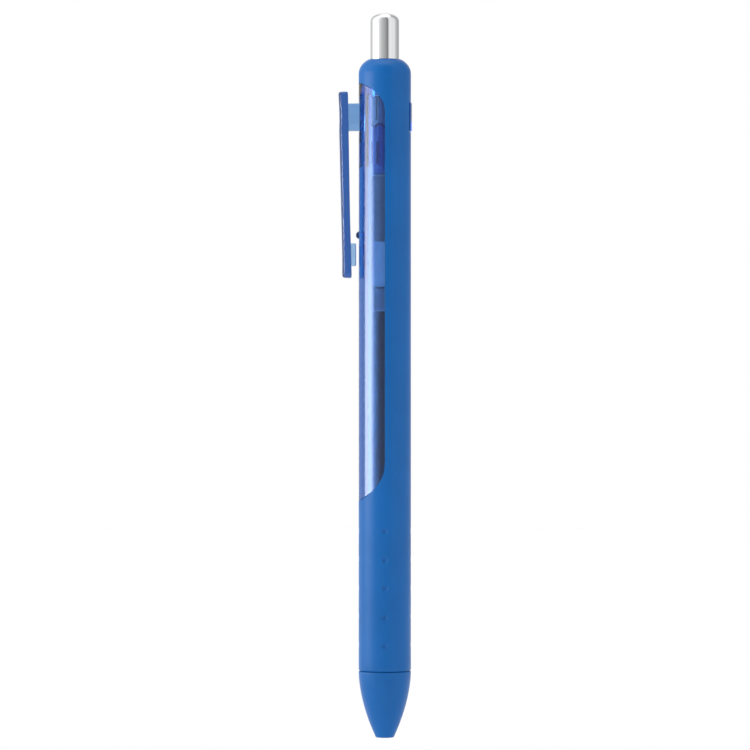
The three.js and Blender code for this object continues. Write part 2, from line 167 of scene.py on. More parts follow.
def places(fixed, step, fine=(), reach=0.0, fine_step=None):
    """Values through every fixed one, a step apart, and closer within reach of the fine ones."""
    values = [fixed[0]]
    for low, high in zip(fixed, fixed[1:]):
        at = low
        while True:
            near = any(abs(at + (fine_step or 0) / 2 - place) < reach for place in fine)
            stride = fine_step if near else step
            at += stride
            if at > high - stride / 2:
                break
            values.append(at)
        values.append(high)
    return values


def stepped(edges, step, key_of):
    """Columns round a piece, a step apart. Each stretch between two edges has its own key."""
    columns = []
    for low, high in zip(edges, edges[1:]):
        key = key_of((low + high) / 2)
        columns += [(angle, key) for angle in places([low, high], step)]
    return columns


def on_ring(angle, radius, z):
    """A point at an angle in degrees from -X, as seen from above."""
    turn = math.radians(angle)
    return (-radius * math.cos(turn), -radius * math.sin(turn), z)


def finished(name, bm):
    """The bmesh as an object with merged points, outward faces and smooth shading."""
    bmesh.ops.remove_doubles(bm, verts=bm.verts, dist=1e-7)
    loose = [v for v in bm.verts if not v.link_faces]
    bmesh.ops.delete(bm, geom=loose, context="VERTS")
    bmesh.ops.recalc_face_normals(bm, faces=bm.faces)
    mesh = bpy.data.meshes.new(name)
    bm.to_mesh(mesh)
    bm.free()
    return shown(name, mesh)


def shown(name, mesh):
    """A mesh as an object of the scene, smooth but for its sharp edges."""
    mesh.shade_smooth()
    mesh.set_sharp_from_angle(angle=SHARP)
    piece = bpy.data.objects.new(name, mesh)
    bpy.context.scene.collection.objects.link(piece)
    return piece


def grid_faces(bm, rows, around=False, skip=None):
    """Joins rows of points into four-sided faces."""
    count = len(rows[0])
    for i in range(len(rows) - 1):
        for j in range(count if around else count - 1):
            if skip and skip(i, j):
                continue
            k = (j + 1) % count
            corners = [rows[i][j], rows[i + 1][j], rows[i + 1][k], rows[i][k]]
            if len({tuple(v.co) for v in corners}) > 2:
                bm.faces.new(corners)


def wrapped(name, columns, profile_of, closed=True):
    """A ring-shaped solid whose outline may change round the pen. A column is (angle, key)."""
    bm = bmesh.new()
    rows = [[bm.verts.new(on_ring(c[0], r, z)) for r, z in profile_of(*c)] for c in columns]
    grid_faces(bm, rows, around=closed)
    return finished(name, bm)


def turned(name, profile, steps, closed=True):
    """A solid turned round the pen's axis. An open profile starts and ends on the axis."""
    columns = [(360 * i / steps, None) for i in range(steps + 1)]
    return wrapped(name, columns, lambda _angle, _key: profile, closed)


def lofted(name, sections):
    """A solid through closed sections with the same number of points, capped at both ends."""
    bm = bmesh.new()
    rows = [[bm.verts.new(point) for point in section] for section in sections]
    grid_faces(bm, rows, around=True)
    bm.faces.new(rows[0])
    bm.faces.new(rows[-1])
    return finished(name, bm)


def combined(piece, tool, operation):
    """The piece joined with the tool, or cut by it. The tool is used up."""
    change = piece.modifiers.new("combine", "BOOLEAN")
    change.object = tool
    change.operation = operation
    change.solver = "EXACT"
    evaluated = piece.evaluated_get(bpy.context.evaluated_depsgraph_get())
    mesh = bpy.data.meshes.new_from_object(evaluated)
    name = piece.name
    bpy.data.objects.remove(piece)
    bpy.data.objects.remove(tool)
    mesh.name = name
    return shown(name, mesh)


def rounded_box(name, low, high, rounding):
    """A box with rounded edges between two corners."""
    (x0, y0, z0), (x1, y1, z1) = low, high
    turns = [math.radians(turn) for turn in (0, 30, 60, 90)]
    ends = [(rounding * (1 - math.sin(t)), rounding * (1 - math.cos(t))) for t in turns]
    levels = [(z0 + rise, inset) for rise, inset in reversed(ends)]
    levels += [(z1 - rise, inset) for rise, inset in ends]
    sections = []
    for z, inset in levels:
        corners = [
            (x0 + inset, y0 + inset, rounding),
            (x1 - inset, y0 + inset, rounding),
            (x1 - inset, y1 - inset, rounding),
            (x0 + inset, y1 - inset, rounding),
        ]
        sections.append([(x, y, z) for x, y in fillet(corners)])
    return lofted(name, sections)


def settled(piece, body, node, material):
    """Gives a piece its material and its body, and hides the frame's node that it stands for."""
    piece.data.materials.clear()
    piece.data.materials.append(material)
    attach(piece, body)
    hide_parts(node)


def bevelled(piece, width):
    """Rounds a piece's sharp edges."""
    change = piece.modifiers.new("edges", "BEVEL")
    change.width = width
    change.segments = 3
    change.limit_method = "ANGLE"
    change.angle_limit = BEVEL_FROM
    change.harden_normals = False


# ---- Materials ----


def add_node(tree, kind, settings=None, inputs=None, stops=None):
    """Adds a node. An input is a value, or the socket that feeds it. Stops are a ramp's."""
    node = tree.nodes.new(kind)
    for key, value in (settings or {}).items():
        setattr(node, key, value)
    for key, value in (inputs or {}).items():
        if isinstance(value, bpy.types.NodeSocket):
            tree.links.new(value, node.inputs[key])
        else:
            node.inputs[key].default_value = value
    if stops:
        elements = node.color_ramp.elements
        while len(elements) < len(stops):
            elements.new(1.0)
        for element, (place, shade) in zip(elements, stops):
            element.position = place
            element.color = shade
    return node


def started(name):
    """A new material, its tree, and the coordinates in metres that its patterns use."""
    material = bpy.data.materials.new(name)
    material.use_nodes = True
    tree = material.node_tree
    tree.nodes.clear()
    return material, tree, add_node(tree, "ShaderNodeTexCoord").outputs["Object"]


def surfaced(material, look, volume=None):
    """Ends a material with a shader of this look, and gives the material."""
    tree = material.node_tree
    shader = add_node(tree, "ShaderNodeBsdfPrincipled", inputs=look)
    sockets = {"Surface": shader.outputs["BSDF"]}
    if volume:
        sockets["Volume"] = volume.outputs["Volume"]
    add_node(tree, "ShaderNodeOutputMaterial", inputs=sockets)
    return material


# The width of a wave texture's band at scale 1.
BAND = 2 * math.pi / 20


def per_mm(size_mm):
    """A texture's scale for a feature of that size, where the coordinates are in metres."""
    return 1 / (size_mm * MM)


def fine_relief(tree, place, size_mm, detail, strength, depth_mm, along=1.0):
    """A surface's fine unevenness: its pattern, and the normal it gives. A small along draws it out."""
    stretch = add_node(tree, "ShaderNodeMapping", inputs={"Vector": place, "Scale": (1.0, 1.0, along)})
    sockets = {"Vector": stretch.outputs["Vector"], "Scale": per_mm(size_mm), "Detail": detail}
    pattern = add_node(tree, "ShaderNodeTexNoise", inputs=sockets)
    sockets = {"Height": pattern.outputs["Fac"], "Strength": strength, "Distance": depth_mm * MM}
    bump = add_node(tree, "ShaderNodeBump", inputs=sockets)
    return pattern.outputs["Fac"], bump.outputs["Normal"]


def soft_touch_elastomer(shade):
    """Thermoplastic elastomer, moulded in a spark-eroded tool."""
    # A fine even grain breaks up the highlight into a broad satin band, and handling leaves
    # faint smoother patches. The real grain is about 0.05 mm, too fine to show.
    material, tree, place = started("soft_touch_elastomer_moulded")
    _, normal = fine_relief(tree, place, size_mm=0.16, detail=3.0, strength=0.25, depth_mm=0.02)
    sockets = {"Vector": place, "Scale": per_mm(9.0), "Detail": 4.0}
    patches = add_node(tree, "ShaderNodeTexNoise", inputs=sockets).outputs["Fac"]
    dark = [c * 0.93 for c in shade[:3]] + [1]
    light = [min(1, c * 1.06) for c in shade[:3]] + [1]
    stops = [(0.3, dark), (0.7, light)]
    tone = add_node(tree, "ShaderNodeValToRGB", inputs={"Fac": patches}, stops=stops)
    spread = {"From Min": 0.3, "From Max": 0.7, "To Min": 0.4, "To Max": 0.33}
    satin = add_node(tree, "ShaderNodeMapRange", inputs={"Value": patches, **spread})
    look = {
        "Base Color": tone.outputs["Color"],
        "Roughness": satin.outputs["Result"],
        "Normal": normal,
        "IOR": 1.47,
        "Specular IOR Level": 0.32,
    }
    return surfaced(material, look)


def clear_polycarbonate(name, shade, density):
    """Blue polycarbonate, injection moulded and polished."""
    # The colour deepens with the thickness that the light crosses, so that thin stretches are
    # pale and edges are deep blue. A slight waviness from the mould's flow bends the reflections.
    material, tree, place = started(name)
    _, normal = fine_relief(tree, place, size_mm=3.0, detail=1.0, strength=0.2, depth_mm=0.02, along=0.2)
    look = {
        "Base Color": (1, 1, 1, 1),
        "Roughness": 0.03,
        "IOR": 1.57,
        "Specular IOR Level": 0.3,
        "Transmission Weight": 1.0,
        "Normal": normal,
    }
    depth = add_node(tree, "ShaderNodeVolumeAbsorption", inputs={"Color": shade, "Density": density})
    return surfaced(material, look, depth)


def bright_chrome(shade):
    """Bright chrome, plated on moulded plastic."""
    # Nearly a mirror. Fine lines from handling run mostly along the button. They are drawn
    # coarser than real ones, or they wouldn't show.
    material, tree, place = started("chrome_bright_plated")
    lines, normal = fine_relief(
        tree, place, size_mm=0.12, detail=2.0, strength=0.05, depth_mm=0.01, along=0.08
    )
    spread = {"From Min": 0.4, "From Max": 0.75, "To Min": 0.03, "To Max": 0.09}
    haze = add_node(tree, "ShaderNodeMapRange", inputs={"Value": lines, **spread})
    look = {
        "Base Color": shade,
        "Metallic": 1.0,
        "Roughness": haze.outputs["Result"],
        "Normal": normal,
    }
    return surfaced(material, look)


def moulded_plastic(name, shade, roughness, grain_mm=0.2):
    """A plain moulded plastic, such as acetal or ABS."""
    # A soft gloss with the tool's faint texture, and slightly uneven colour. The texture is
    # drawn coarse enough to show.
    material, tree, place = started(name)
    grain, normal = fine_relief(tree, place, grain_mm, detail=2.0, strength=0.15, depth_mm=0.01)
    stops = [(0.25, [c * 0.93 for c in shade[:3]] + [1]), (0.75, shade)]
    tone = add_node(tree, "ShaderNodeValToRGB", inputs={"Fac": grain}, stops=stops)
    look = {
        "Base Color": tone.outputs["Color"],
        "Roughness": roughness,
        "IOR": 1.48,
        "Normal": normal,
    }
    return surfaced(material, look)


def clear_filling(name, shade, index, roughness, blotch_mm):
    """A clear thing inside the barrel: the refill's tube, or its grease."""
    # Almost colourless, with a little haze that varies along it.
    material, tree, place = started(name)
    sockets = {"Vector": place, "Scale": per_mm(blotch_mm), "Detail": 2.0}
    blotch = add_node(tree, "ShaderNodeTexNoise", inputs=sockets)
    spread = {"To Min": roughness * 0.6, "To Max": roughness * 1.4}
    haze = add_node(tree, "ShaderNodeMapRange", inputs={"Value": blotch.outputs["Fac"], **spread})
    look = {
        "Base Color": shade,
        "Roughness": haze.outputs["Result"],
        "IOR": index,
        "Transmission Weight": 1.0,
    }
    return surfaced(material, look)


def turned_metal(name, shade, roughness, ring_mm):
    """Metal cut on a lathe or drawn: the point, the ball and the spring's wire."""
    # Rings round the piece catch the light as thin bright lines. They are drawn wider than
    # tool marks, or they wouldn't show.
    material, tree, place = started(name)
    bands = {"bands_direction": "Z", "wave_profile": "SIN"}
    sockets = {"Vector": place, "Scale": per_mm(ring_mm) * BAND, "Distortion": 1.5, "Detail": 2.0}
    rings = add_node(tree, "ShaderNodeTexWave", bands, sockets)
    sockets = {"Height": rings.outputs["Fac"], "Strength": 0.1, "Distance": 0.01 * MM}
    bump = add_node(tree, "ShaderNodeBump", inputs=sockets)
    look = {
        "Base Color": shade,
        "Metallic": 1.0,
        "Roughness": roughness,
        "Normal": bump.outputs["Normal"],
    }
    return surfaced(material, look)


def studio_paper(shade):
    """Matt white background paper."""
    # Its tooth keeps the floor from looking like plastic. It is drawn coarser than the real
    # 0.1 mm, or it wouldn't show.
    material, tree, place = started("background_paper_matt")
    _, normal = fine_relief(tree, place, size_mm=0.8, detail=3.0, strength=0.1, depth_mm=0.02)
    look = {"Base Color": shade, "Roughness": 0.95, "Specular IOR Level": 0.1, "Normal": normal}
    return surfaced(material, look)


# ---- Shapes shared by the pieces ----


class Shape:
    """Where things are, from the frame's own boxes."""

    def __init__(self):
        low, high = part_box("grip_sleeve")
        self.radius = high.x
        self.grip_bottom, self.shoulder = low.z, high.z
        self.window_top = self.shoulder - 10.6 * MM
        self.window_bottom = self.grip_bottom + 40.9 * MM
        # How far the window's rounded ends go beyond its straight sides.
        self.window_rise = 5.8 * MM
        self.window_dip = 7.6 * MM
        low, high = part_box("push_button")
        self.button_bottom, self.button_top = low.z, high.z
        self.button_radius = high.x
        button_play = 0.15 * MM
        self.hole = self.button_radius + button_play
        low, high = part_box("barrel")
        self.barrel_bottom, self.barrel_top = low.z, high.z
        self.tab_out = high.x
        # The tab behind the clip, and the slot in the grip that it fills.
        self.tab_half_width, self.tab_half_height = 1.6 * MM, 2.8 * MM
        slot_play = 0.15 * MM
        self.slot_half_width = self.tab_half_width + slot_play
        self.slot_half_height = self.tab_half_height + slot_play
        low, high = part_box("pocket_clip")
        self.clip_foot, self.clip_top = low.z, high.z
        post_height, post_drop, land_drop = 5.5 * MM, 2.3 * MM, 7.2 * MM
        self.post_top = self.clip_top - post_drop
        self.post_bottom = self.post_top - post_height
        self.post_middle = (self.post_top + self.post_bottom) / 2
        self.land_bottom = self.post_bottom - land_drop

    def window_end(self, angle):
        """How far the window's rounded ends reach at an angle, from 0 at its sides to 1."""
        return math.sqrt(max(0.0, 1 - (angle / WINDOW_HALF) ** 2))

    def window_span(self, angle, margin=0.0):
        """Bottom and top of the window at an angle."""
        share = self.window_end(angle)
        low = self.window_bottom - share * (self.window_dip + margin)
        high = self.window_top + share * (self.window_rise + margin)
        return low, high


SHAPE = Shape()


class PEN_OT_grip(bpy.types.Operator):
    """Soft sleeve with its window, dimples, tab slot and rounded shoulder"""

    bl_idname = "pen.grip"
    bl_label = "Grip sleeve"
    bl_options = {"REGISTER", "UNDO"}

    def execute(self, context):
        sizes = context.scene.pen_sizes
        colours = context.scene.pen_colours
        radius, hole = SHAPE.radius, SHAPE.hole
        slot_half = math.degrees(math.asin(SHAPE.slot_half_width / radius))
        slot_low = SHAPE.post_middle - SHAPE.slot_half_height
        slot_high = SHAPE.post_middle + SHAPE.slot_half_height
        angles = places(
            [-180, -180 + slot_half, -90, 0, 90, 180 - slot_half, 180],
            step=3.0,
            fine=DIMPLE_ANGLES,
            reach=11.0,
            fine_step=1.2,
        )
        # The lip reaches down over the barrel's flange, to a thin seam with the nose.
        lip_drop, lip_in, lip_up = 0.66 * MM, 0.36 * MM, 0.4 * MM
        bottom = SHAPE.grip_bottom - lip_drop
        lip = arc((radius - lip_in, bottom + lip_up), (lip_in, lip_up), -70, 0, 7)[:-1]
        first_row = SHAPE.grip_bottom + 4.5 * MM
        dimple_rows = [first_row + i * sizes.dimple_pitch for i in range(DIMPLE_ROWS)]
        level = SHAPE.window_bottom - SHAPE.window_dip - 2 * MM
        levels = places(
            [bottom + lip_up, level],
            step=1.0 * MM,
            fine=dimple_rows,
            reach=1.7 * MM,
            fine_step=0.12 * MM,
        )
        shoulder_start = SHAPE.window_top + SHAPE.window_rise + 0.8 * MM
        slot_share = (slot_low - SHAPE.window_bottom) / (SHAPE.window_top - SHAPE.window_bottom)
        top_share = (slot_high - SHAPE.window_top) / (shoulder_start - SHAPE.window_top)
        low_shares = [i / 8 for i in range(1, 9)]
        side_shares = places([0.0, slot_share, 1.0], 0.1)[1:]
        high_shares = places([0.0, top_share, 1.0], 0.16)[1:]
        shoulder_in, shoulder_up, shoulder_drop = 3.8 * MM, 3.26 * MM, 2.95 * MM
        edge_in, edge_up, hole_depth = 0.2 * MM, 0.1 * MM, 1.0 * MM
        centre = (radius - shoulder_in, SHAPE.shoulder - shoulder_drop)
        at_hole = math.degrees(math.acos((hole + edge_in - centre[0]) / shoulder_in))
        shoulder = arc(centre, (shoulder_in, shoulder_up), 0, at_hole, 16)
        rim = shoulder[-1][1] - edge_up
        shoulder += arc((hole + edge_in, rim), (edge_in, edge_up), 90, 180, 4)
        shoulder.append((hole, rim - hole_depth))

        def column(angle):
            low, high = SHAPE.window_span(angle)
            points = list(lip)
            points += [(radius - self.dimple(angle, z, dimple_rows, sizes), z) for z in levels]
            points += [(radius, level + (low - level) * s) for s in low_shares]
            points += [(radius, low + (high - low) * s) for s in side_shares]
            points += [(radius, high + (shoulder_start - high) * s) for s in high_shares]
            return points + shoulder

        first_side = len(lip) + len(levels) + len(low_shares) - 1
        first_high = first_side + len(side_shares)
        slot_row = first_side + 1 + side_shares.index(slot_share)
        slot_end = first_high + 1 + high_shares.index(top_share)

        def is_open(i, j):
            middle = abs(angles[i] + angles[i + 1]) / 2
            in_window = middle < WINDOW_HALF and first_side <= j < first_high
            return in_window or (middle > 180 - slot_half and slot_row <= j < slot_end)

        bm = bmesh.new()
        rows = [[bm.verts.new(on_ring(a, r, z)) for r, z in column(a)] for a in angles]
        grid_faces(bm, rows, skip=is_open)
        piece = finished("grip_skin", bm)
        outwards = sum(f.area * f.normal.xy.dot(f.center.xy) for f in piece.data.polygons)
        if outwards < 0:
            piece.data.flip_normals()
        wall = piece.modifiers.new("wall", "SOLIDIFY")
        wall.thickness = sizes.grip_wall
        wall.offset = -1
        bevelled(piece, sizes.grip_edge)
        settled(piece, "barrel", "grip_sleeve", soft_touch_elastomer(colours.grip))
        return {"FINISHED"}

    def dimple(self, angle, z, rows, sizes):
        """Depth of the grip's dimples at a point of its surface."""
        across = SHAPE.radius * math.radians(min(abs(angle - a) for a in DIMPLE_ANGLES))
        distance = min(math.hypot(across, z - row) for row in rows)
        reach = sizes.dimple_width / 2
        if distance > reach:
            return 0.0
        steepness = 0.75
        return sizes.dimple_depth * (1 - (distance / reach) ** 2) ** steepness


class PEN_OT_nose(bpy.types.Operator):
    """Tapered nose cone with its rim and bores"""

    bl_idname = "pen.nose"
    bl_label = "Nose cone"
    bl_options = {"REGISTER", "UNDO"}

    def execute(self, context):
        sizes = context.scene.pen_sizes
        colours = context.scene.pen_colours
        low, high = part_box("nose_cone")
        # It ends just under the sleeve's lip.
        height = high.z - low.z + 0.1 * MM
        end, curve, steps = 1.79 * MM, 1.8, 40
        first, last = 0.5 * MM, height - 0.4 * MM
        levels = [first + (last - first) * i / steps for i in range(steps + 1)]
        side = [(SHAPE.radius - (SHAPE.radius - end) * (1 - z / height) ** curve, z) for z in levels]
        # Bores from the top down: for the barrel's spigot, the spring and the refill's tip.
        spigot, spring, tip, opening = 4.05 * MM, 2.45 * MM, 1.65 * MM, 1.2 * MM
        profile = fillet(
            [
                (opening, 0, 0.08 * MM),
                (side[0][0] - 0.22 * MM, 0, 0.3 * MM),
                *side,
                (SHAPE.radius, height, 0.2 * MM),
                (spigot, height, 0.1 * MM),
                (spigot, 8.1 * MM),
                (spring, 8.1 * MM),
                (spring, 3.2 * MM),
                (tip, 3.2 * MM),
                (tip, 2.5 * MM),
                (opening, 1.9 * MM),
            ]
        )
        piece = turned("nose_shell", profile, sizes.ring_steps)
        settled(piece, "nose", "nose_cone", soft_touch_elastomer(colours.grip))
        return {"FINISHED"}


class PEN_OT_barrel(bpy.types.Operator):
    """Clear barrel with its window strip, bump, rear tab and clip pocket"""

    bl_idname = "pen.barrel"
    bl_label = "Clear barrel"
    bl_options = {"REGISTER", "UNDO"}

    def execute(self, context):
        sizes = context.scene.pen_sizes
        colours = context.scene.pen_colours
        gap = sizes.window_gap
        sleeve_play, land_half = 0.1 * MM, 1.1 * MM
        core = SHAPE.radius - sizes.grip_wall - sleeve_play
        bore = core - sizes.barrel_wall
        strip = WINDOW_HALF - math.degrees(gap / SHAPE.radius)
        tab = math.degrees(math.asin(SHAPE.tab_half_width / SHAPE.tab_out))
        land = math.degrees(land_half / bore)
        edges = [-180, tab - 180, land - 180, -90 - land, -strip, land - 90, -land, 0]
        edges += [-edge for edge in reversed(edges[:-1])]

        def key_of(middle):
            out = SHAPE.radius if abs(middle) < strip else core
            knob = SHAPE.tab_out if 180 - abs(middle) < tab else core
            rail = SHAPE.hole if abs((middle + 45) % 90 - 45) < land else bore
            return out, knob, rail

        tab_low = SHAPE.post_middle - SHAPE.tab_half_height
        tab_high = SHAPE.post_middle + SHAPE.tab_half_height
        seam = SHAPE.grip_bottom
        flange_low, flange_high = seam - 0.65 * MM, seam - 0.45 * MM
        collar = SHAPE.button_bottom + 0.3 * MM
        throat, spigot, flange = 3.15 * MM, 3.9 * MM, 4.55 * MM

        def profile(angle, key):
            out, knob, rail = key
            low, high = SHAPE.window_span(angle, -gap)
            if out == core:
                # Behind the strip, its corners close up and run down to the tab.
                top = SHAPE.window_span(strip, -gap)[1]
                share = min(1.0, (abs(angle) - strip) / (180 - tab - strip))
                high = top + (tab_low - top) * share
            return [
                (throat, SHAPE.barrel_bottom),
                (spigot, SHAPE.barrel_bottom),
                (spigot, flange_low),
                (flange, flange_low),
                (flange, flange_high),
                (core, flange_high),
                (core, low),
                (out, low),
                (out, high),
                (core, high),
                (core, max(high, tab_low)),
                (knob, max(high, tab_low)),
                (knob, max(high, tab_high)),
                (core, max(high, tab_high)),
                (core, SHAPE.barrel_top),
                (SHAPE.hole, SHAPE.barrel_top),
                (SHAPE.hole, collar),
                (rail, collar),
                (rail, SHAPE.land_bottom),
                (bore, SHAPE.land_bottom),
                (bore, seam + 1.3 * MM),
                (throat, seam + 0.7 * MM),
            ]

        columns = stepped(edges, 2.0, key_of)
        piece = wrapped("clear_barrel", columns, profile)
        bump_rise, bump_radius, bump_sink = 8.6 * MM, 0.78 * MM, 0.22 * MM
        bump = turned("bump", arc((0, 0), bump_radius, -90, 90, 16), 32, closed=False)
        middle = (-(SHAPE.radius - bump_sink), 0, SHAPE.clip_foot + bump_rise)
        bump.data.transform(Matrix.Translation(middle))
        piece = combined(piece, bump, "UNION")
        # The clip's post stands in a pocket with a little play.
        depth, half, play = 1.0 * MM, 1.3 * MM, 0.2 * MM
        low = (-SHAPE.radius - depth, -half, SHAPE.post_bottom - play)
        high = (-SHAPE.radius + depth, half, SHAPE.post_top + play)
        piece = combined(piece, rounded_box("pocket", low, high, 0.1 * MM), "DIFFERENCE")
        material = clear_polycarbonate("polycarbonate_clear_moulded", colours.barrel, BARREL_DENSITY)
        settled(piece, "barrel", "barrel", material)
        return {"FINISHED"}


class PEN_OT_clip(bpy.types.Operator):
    """Pocket clip with its rounded arm, post and pad"""

    bl_idname = "pen.clip"
    bl_label = "Pocket clip"
    bl_options = {"REGISTER", "UNDO"}

    def execute(self, context):
        sizes = context.scene.pen_sizes
        colours = context.scene.pen_colours
        foot, top = SHAPE.clip_foot, SHAPE.clip_top
        # Distances of the arm's front and back from the grip's surface, up the clip.
        outer = [
            (foot, 3.26 * MM),
            (foot + 4.2 * MM, 3.26 * MM),
            (top - 7.6 * MM, 3.87 * MM),
            (top - 6.0 * MM, 3.8 * MM),
            (top - 3.0 * MM, 3.88 * MM),
            (top, 4.05 * MM),
        ]
        inner = [(foot, 1.37 * MM), (top - 24 * MM, 1.72 * MM), (top, 2.12 * MM)]
        end = 0.55 * MM
        steps = 6
        near = [end * (1 - math.cos(math.pi / 2 * i / steps)) for i in range(steps)]
        stations = [foot + d for d in near]
        stations += places([foot + end, top - end], 1.2 * MM)
        stations += [top - d for d in reversed(near)]
        # The bevel is wider than it is deep.
        flat = 1.4 * sizes.clip_bevel
        back_round, front_round = 0.2 * MM, 0.15 * MM
        sections = []
        for z in stations:
            left = end - min(z - foot, top - z, end)
            inset = end - math.sqrt(max(0.0, end**2 - left**2))
            out = -(SHAPE.radius + interp(z, *zip(*outer))) + inset
            back = -(SHAPE.radius + interp(z, *zip(*inner))) - 0.4 * inset
            half = sizes.clip_width / 2 - inset
            side = out + sizes.clip_bevel
            corners = [
                (back, -half, back_round),
                (back, half, back_round),
                (side, half, sizes.clip_round),
                (out, half - flat, front_round),
                (out, flat - half, front_round),
                (side, -half, sizes.clip_round),
            ]
            sections.append([(x, y, z) for x, y in fillet(corners, steps=6)])
        piece = lofted("clip_arm", sections)
        # Each block's reach out from the grip's surface, half width, bottom, top and rounding.
        blocks = (
            ("post", 2.2 * MM, -0.68 * MM, 1.2 * MM, SHAPE.post_bottom, SHAPE.post_top, 0.25 * MM),
            ("pad", 1.9 * MM, 0.49 * MM, 0.8 * MM, foot + 2.4 * MM, foot + 7.0 * MM, 0.35 * MM),
        )
        for name, outside, inside, half, bottom, end, rounding in blocks:
            low = (-(SHAPE.radius + outside), -half, bottom)
            high = (-(SHAPE.radius + inside), half, end)
            piece = combined(piece, rounded_box(name, low, high, rounding), "UNION")
        material = clear_polycarbonate("polycarbonate_tinted_moulded", colours.clip, CLIP_DENSITY)
        settled(piece, "clip", "pocket_clip", material)
        return {"FINISHED"}


class PEN_OT_button(bpy.types.Operator):
    """Chrome push button with its domed edge"""

    bl_idname = "pen.button"
    bl_label = "Push button"
    bl_options = {"REGISTER", "UNDO"}

    def execute(self, context):
        sizes = context.scene.pen_sizes
        colours = context.scene.pen_colours
        radius, top, bottom = SHAPE.button_radius, SHAPE.button_top, SHAPE.button_bottom
        roof, hollow, lip = 1.5 * MM, 2.3 * MM, 0.1 * MM
        dome_in, dome_up = 2.3 * MM, 1.7 * MM
        profile = [(0, top - roof), (hollow, top - roof), (hollow, bottom)]
        profile += arc((radius - lip, bottom + lip), lip, -90, 0, 3)
        profile += arc((radius - dome_in, top - dome_up), (dome_in, dome_up), 0, 90, 24)
        profile.append((0, top))
        piece = turned("button_cap", profile, sizes.ring_steps, closed=False)
        settled(piece, "button", "push_button", bright_chrome(colours.chrome))
        return {"FINISHED"}


def tooth(angle):
    """Height of a ring of pointed teeth at an angle, from 0 at a root to 1 at a tip."""
    return abs((angle * TEETH / 360) % 1 - 0.5) * 2


def ribbed_columns(radius):
    """Columns round a piece with four ribs. The key says whether a column is on a rib."""
    half = math.degrees(RIB_WIDTH / 2 / radius)
    edges = [side for i in range(4) for side in (90 * i + 45 - half, 90 * i + 45, 90 * i + 45 + half)]
    edges.append(edges[0] + 360)
    return stepped(edges, 3.0, lambda middle: abs(middle % 90 - 45) < half)


class PEN_OT_cam(bpy.types.Operator):
    """White plunger and blue rotor, with their teeth and ribs"""

    bl_idname = "pen.cam"
    bl_label = "Plunger and rotor"
    bl_options = {"REGISTER", "UNDO"}

    def execute(self, context):
        colours = context.scene.pen_colours
        low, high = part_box("plunger")
        top, roots = SHAPE.button_bottom - 0.1 * MM, low.z + TOOTH_HEIGHT
        rib_start = roots + 0.3 * MM
        bore, neck, crown, rib = 1.3 * MM, 2.15 * MM, 2.75 * MM, 3.05 * MM

        def plunger(angle, on_rib):
            out = rib if on_rib else crown
            edge = roots - TOOTH_HEIGHT * tooth(angle)
            return [
                (bore, edge),
                (crown, edge),
                (crown, rib_start),
                (out, rib_start),
                (out, top),
                (neck, top),
                (neck, high.z),
                (bore, high.z),
            ]

        piece = wrapped("plunger_crown", ribbed_columns(3.1 * MM), plunger)
        material = moulded_plastic("acetal_white_moulded", colours.plunger, 0.3)
        settled(piece, "button", "plunger", material)
        low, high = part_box("cam_rotor")
        bottom = low.z
        base = bottom + 9.2 * MM
        rib_low, rib_high = base - 7.1 * MM, base - 2.7 * MM
        spigot, groove, foot, body, rib_out = 1.15 * MM, 2.2 * MM, 2.25 * MM, 2.4 * MM, 3.0 * MM

        def rotor(angle, on_rib):
            out = rib_out if on_rib else body
            edge = base + TOOTH_HEIGHT * (1 - tooth(angle))
            return [
                (0, bottom),
                (foot, bottom),
                (body, bottom + 0.15 * MM),
                (body, bottom + 0.6 * MM),
                (groove, bottom + 0.7 * MM),
                (groove, bottom + 0.9 * MM),
                (body, bottom + 1.0 * MM),
                (body, rib_low),
                (out, rib_low),
                (out, rib_high),
                (body, rib_high),
                (body, edge),
                (spigot, edge),
                (spigot, high.z),
                (0, high.z),
            ]

        piece = wrapped("rotor_body", ribbed_columns(2.95 * MM), rotor, closed=False)
        material = moulded_plastic("acetal_blue_moulded", colours.rotor, 0.35)
        settled(piece, "rotor", "cam_rotor", material)
        return {"FINISHED"}


